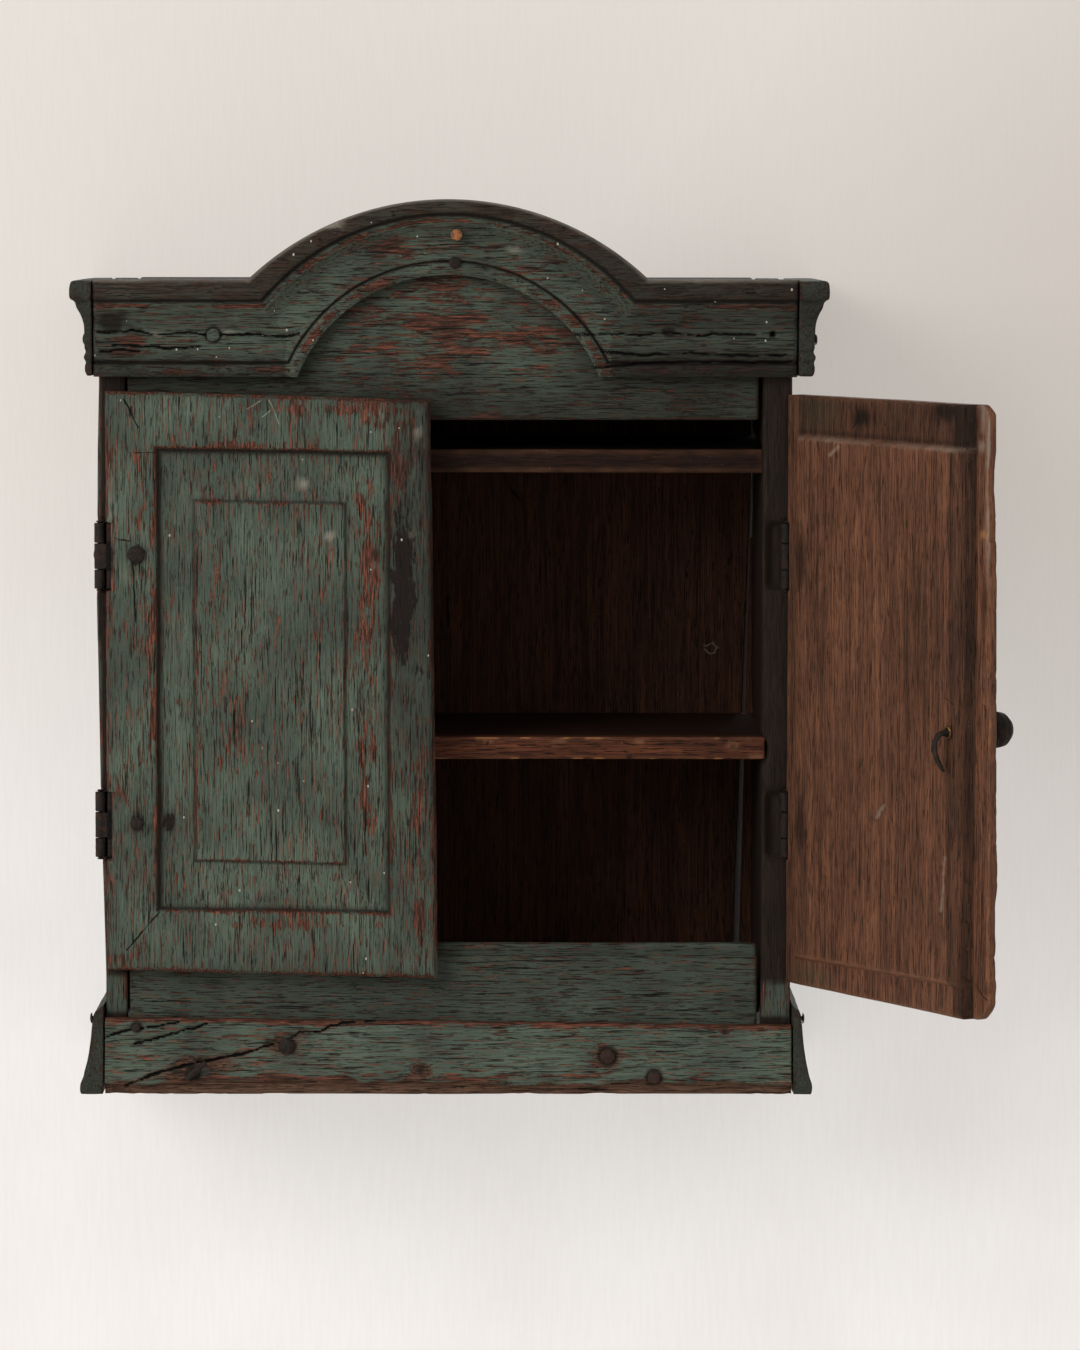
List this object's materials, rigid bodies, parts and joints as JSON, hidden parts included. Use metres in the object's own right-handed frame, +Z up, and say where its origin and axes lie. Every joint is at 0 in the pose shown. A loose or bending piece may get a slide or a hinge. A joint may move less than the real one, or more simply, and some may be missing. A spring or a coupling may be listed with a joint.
{
  "type": "wall cupboard",
  "caption": "Small painted wooden wall cupboard with an arched cornice, shelves, panelled doors on iron hinges and a turn latch with a hook.",
  "frame": {"origin": "on the back boards' rear face, on the centre line, 300 mm above the underside of the base", "axes": "X across with the latched door on +X, +Y into the wall, +Z up"},
  "size_m": [0.6885, 0.4433, 0.665],
  "materials": {
    "painted_wood": "old matt grey-green paint over a red-brown ground, worn to the wood along edges",
    "dark_wood": "bare softwood, darkened by age and smoke",
    "shelf_wood": "bare red-brown wood, polished by use",
    "pale_peg": "bare orange-brown end grain",
    "dull_brass": "dull, tarnished",
    "wrought_iron": "hand-forged, nearly black",
    "rusty_iron": "hand-forged, rusted brown"
  },
  "bodies": {
    "carcass": {"left_side": "painted_wood", "right_side": "painted_wood", "top_board": "dark_wood", "bottom_board": "dark_wood", "bottom_rail": "painted_wood", "back_board_left": "dark_wood", "back_board_right": "dark_wood", "back_wedge": "dark_wood", "middle_shelf": "shelf_wood", "upper_shelf": "shelf_wood", "frieze_board": "painted_wood", "cornice_front": "painted_wood", "cornice_left_return": "painted_wood", "cornice_right_return": "painted_wood", "cornice_left_return_nail": "wrought_iron", "cornice_right_return_nail": "wrought_iron", "cornice_nail": "wrought_iron", "cornice_top_peg": "pale_peg", "cornice_left_peg": "painted_wood", "base_front": "painted_wood", "base_left_return": "painted_wood", "base_right_return": "painted_wood", "base_left_return_nail": "wrought_iron", "base_right_return_nail": "wrought_iron", "base_nail_left": "wrought_iron", "base_nail_large": "wrought_iron", "base_nail_rusty": "rusty_iron", "base_nail_low": "rusty_iron", "base_nail_bent": "rusty_iron", "back_board_left_foot_nail": "rusty_iron", "back_board_left_head_nail": "rusty_iron", "back_board_right_foot_nail": "rusty_iron", "back_board_right_head_nail": "rusty_iron", "left_upper_hinge_fixed_leaf": "wrought_iron", "left_upper_hinge_pin": "wrought_iron", "left_upper_hinge_side_nail": "wrought_iron", "left_lower_hinge_fixed_leaf": "wrought_iron", "left_lower_hinge_pin": "wrought_iron", "left_lower_hinge_side_nail": "wrought_iron", "right_upper_hinge_fixed_leaf": "wrought_iron", "right_upper_hinge_pin": "wrought_iron", "right_upper_hinge_side_nail": "wrought_iron", "right_lower_hinge_fixed_leaf": "wrought_iron", "right_lower_hinge_pin": "wrought_iron", "right_lower_hinge_side_nail": "wrought_iron"},
    "left_door": {"left_door": "painted_wood", "left_upper_hinge_door_leaf": "wrought_iron", "left_upper_hinge_door_nail": "wrought_iron", "left_lower_hinge_door_leaf": "wrought_iron", "left_lower_hinge_door_nail": "wrought_iron"},
    "right_door": {"right_door": "painted_wood", "right_upper_hinge_door_leaf": "wrought_iron", "right_upper_hinge_door_nail": "wrought_iron", "right_lower_hinge_door_leaf": "wrought_iron", "right_lower_hinge_door_nail": "wrought_iron", "latch_collar": "dull_brass"},
    "turn_latch": {"latch_knob": "wrought_iron", "latch_hook": "wrought_iron"}
  },
  "joints": [
    {"name": "left_door_hinge", "type": "hinge", "parent": "carcass", "child": "left_door", "pos_m": [-0.2584, -0.235, 0], "axis": [0, 0, -1], "range_deg": [0, 174]},
    {"name": "right_door_hinge", "type": "hinge", "parent": "carcass", "child": "right_door", "pos_m": [0.2503, -0.235, 0], "axis": [0, 0, 1], "range_deg": [-122.5, 27]},
    {"name": "latch_turn", "type": "hinge", "parent": "right_door", "child": "turn_latch", "pos_m": [0.36663, -0.4176, -0.013], "axis": [-0.8434, -0.5373, 0], "continuous": true}
  ]
}
